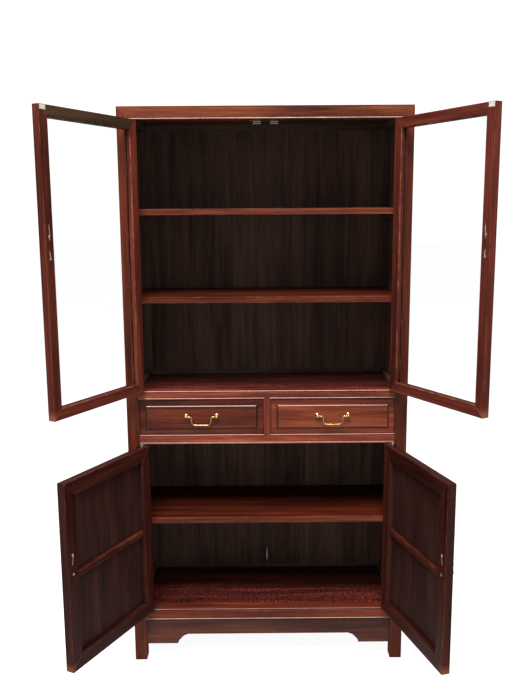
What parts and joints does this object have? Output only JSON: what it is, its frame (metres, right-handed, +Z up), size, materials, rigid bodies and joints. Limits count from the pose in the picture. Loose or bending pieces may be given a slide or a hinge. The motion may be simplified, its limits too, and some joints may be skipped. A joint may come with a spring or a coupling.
{
  "type": "china cabinet with glass doors",
  "caption": "Tall display cabinet: glazed doors over shelves, drawers with bail pulls below, and a panelled cupboard with a shelf on a bracketed plinth.",
  "frame": {"origin": "on the floor, midway between the sides, in the plane of the posts' front faces; with the doors standing open as stored this is also the middle of the bounding box's base", "axes": "+X to the right seen from the front, +Y from the front to the back, +Z up"},
  "size_m": [1.293, 0.8305, 1.93],
  "materials": {
    "rosewood": "glossy dark red-brown lacquer over straight grain",
    "rosewood_inside": "very dark brown stain, half gloss",
    "clear_glass": "clear float glass",
    "brass": "aged polished brass",
    "steel": "zinc-plated steel"
  },
  "bodies": {
    "carcass": {"back_panels": "rosewood_inside", "back_rails": "rosewood_inside", "bottom_front_rail": "rosewood", "cupboard_floor": "rosewood_inside", "cupboard_shelf": "rosewood", "display_floor": "rosewood_inside", "display_shelf_lower": "rosewood", "display_shelf_upper": "rosewood", "drawer_deck": "rosewood_inside", "drawer_divider": "rosewood", "drawer_guides": "rosewood_inside", "frame_hinge_plates": "brass", "front_apron": "rosewood", "front_posts": "rosewood", "magnetic_catches": "steel", "rail_above_drawers": "rosewood", "rail_below_drawers": "rosewood", "rear_posts": "rosewood", "shelf_cleats": "rosewood_inside", "side_aprons": "rosewood", "side_panels": "rosewood_inside", "side_rails": "rosewood", "top_back_rail": "rosewood", "top_front_rail": "rosewood", "top_panel": "rosewood_inside", "top_side_rails": "rosewood"},
    "left_glass_door": {"left_glass_door_glass": "clear_glass", "left_glass_door_hinge_leaves": "brass", "left_glass_door_pull_plate": "brass", "left_glass_door_rails": "rosewood", "left_glass_door_stiles": "rosewood", "left_glass_door_strike_plate": "steel"},
    "left_panel_door": {"left_panel_door_panel": "rosewood", "left_panel_door_pivot_plates": "steel", "left_panel_door_pull_plate": "brass", "left_panel_door_rails_and_batten": "rosewood", "left_panel_door_stiles": "rosewood"},
    "left_drawer": {"left_drawer_box": "rosewood_inside", "left_drawer_front": "rosewood", "left_drawer_pull_posts": "brass"},
    "right_glass_door": {"right_glass_door_glass": "clear_glass", "right_glass_door_hinge_leaves": "brass", "right_glass_door_pull_plate": "brass", "right_glass_door_rails": "rosewood", "right_glass_door_stiles": "rosewood", "right_glass_door_strike_plate": "steel"},
    "right_panel_door": {"right_panel_door_panel": "rosewood", "right_panel_door_pivot_plates": "steel", "right_panel_door_pull_plate": "brass", "right_panel_door_rails_and_batten": "rosewood", "right_panel_door_stiles": "rosewood"},
    "right_drawer": {"right_drawer_box": "rosewood_inside", "right_drawer_front": "rosewood", "right_drawer_pull_posts": "brass"},
    "left_drawer_bail": {"left_drawer_bail": "brass"},
    "left_glass_door_pull_drop": {"left_glass_door_pull_drop": "brass"},
    "left_panel_door_pull_drop": {"left_panel_door_pull_drop": "brass"},
    "right_drawer_bail": {"right_drawer_bail": "brass"},
    "right_glass_door_pull_drop": {"right_glass_door_pull_drop": "brass"},
    "right_panel_door_pull_drop": {"right_panel_door_pull_drop": "brass"}
  },
  "joints": [
    {"name": "left_glass_door_hinge", "type": "hinge", "parent": "carcass", "child": "left_glass_door", "pos_m": [-0.43725, -0.0025, 1.441], "axis": [0, 0, -1], "range_deg": [-118, 52]},
    {"name": "left_glass_door_pull_swing", "type": "hinge", "parent": "left_glass_door", "child": "left_glass_door_pull_drop", "pos_m": [-0.63852, -0.36805, 1.495], "axis": [0.4695, 0.8829, 0], "range_deg": [0, 80]},
    {"name": "right_glass_door_hinge", "type": "hinge", "parent": "carcass", "child": "right_glass_door", "pos_m": [0.43725, -0.0025, 1.441], "axis": [0, 0, 1], "range_deg": [-118.5, 51.5]},
    {"name": "right_glass_door_pull_swing", "type": "hinge", "parent": "right_glass_door", "child": "right_glass_door_pull_drop", "pos_m": [0.64171, -0.36628, 1.495], "axis": [0.4772, -0.8788, 0], "range_deg": [0, 80]},
    {"name": "left_panel_door_hinge", "type": "hinge", "parent": "carcass", "child": "left_panel_door", "pos_m": [-0.4325, -0.0016, 0.50175], "axis": [0, 0, -1], "range_deg": [-117, 53]},
    {"name": "left_panel_door_pull_swing", "type": "hinge", "parent": "left_panel_door", "child": "left_panel_door_pull_drop", "pos_m": [-0.62465, -0.36329, 0.545], "axis": [0.454, 0.891, 0], "range_deg": [0, 80]},
    {"name": "right_panel_door_hinge", "type": "hinge", "parent": "carcass", "child": "right_panel_door", "pos_m": [0.4325, -0.0016, 0.50175], "axis": [0, 0, 1], "range_deg": [-106, 64]},
    {"name": "right_panel_door_pull_swing", "type": "hinge", "parent": "right_panel_door", "child": "right_panel_door_pull_drop", "pos_m": [0.5521, -0.39331, 0.545], "axis": [0.2756, -0.9613, 0], "range_deg": [0, 80]},
    {"name": "left_drawer_slide", "type": "slide", "parent": "carcass", "child": "left_drawer", "axis": [0, -1, 0], "range_m": [0, 0.26]},
    {"name": "left_drawer_bail_swing", "type": "hinge", "parent": "left_drawer", "child": "left_drawer_bail", "pos_m": [-0.225, -0.013, 0.906], "axis": [-1, 0, 0], "range_deg": [0, 85]},
    {"name": "right_drawer_slide", "type": "slide", "parent": "carcass", "child": "right_drawer", "axis": [0, -1, 0], "range_m": [0, 0.26]},
    {"name": "right_drawer_bail_swing", "type": "hinge", "parent": "right_drawer", "child": "right_drawer_bail", "pos_m": [0.225, -0.013, 0.906], "axis": [-1, 0, 0], "range_deg": [0, 85]}
  ]
}
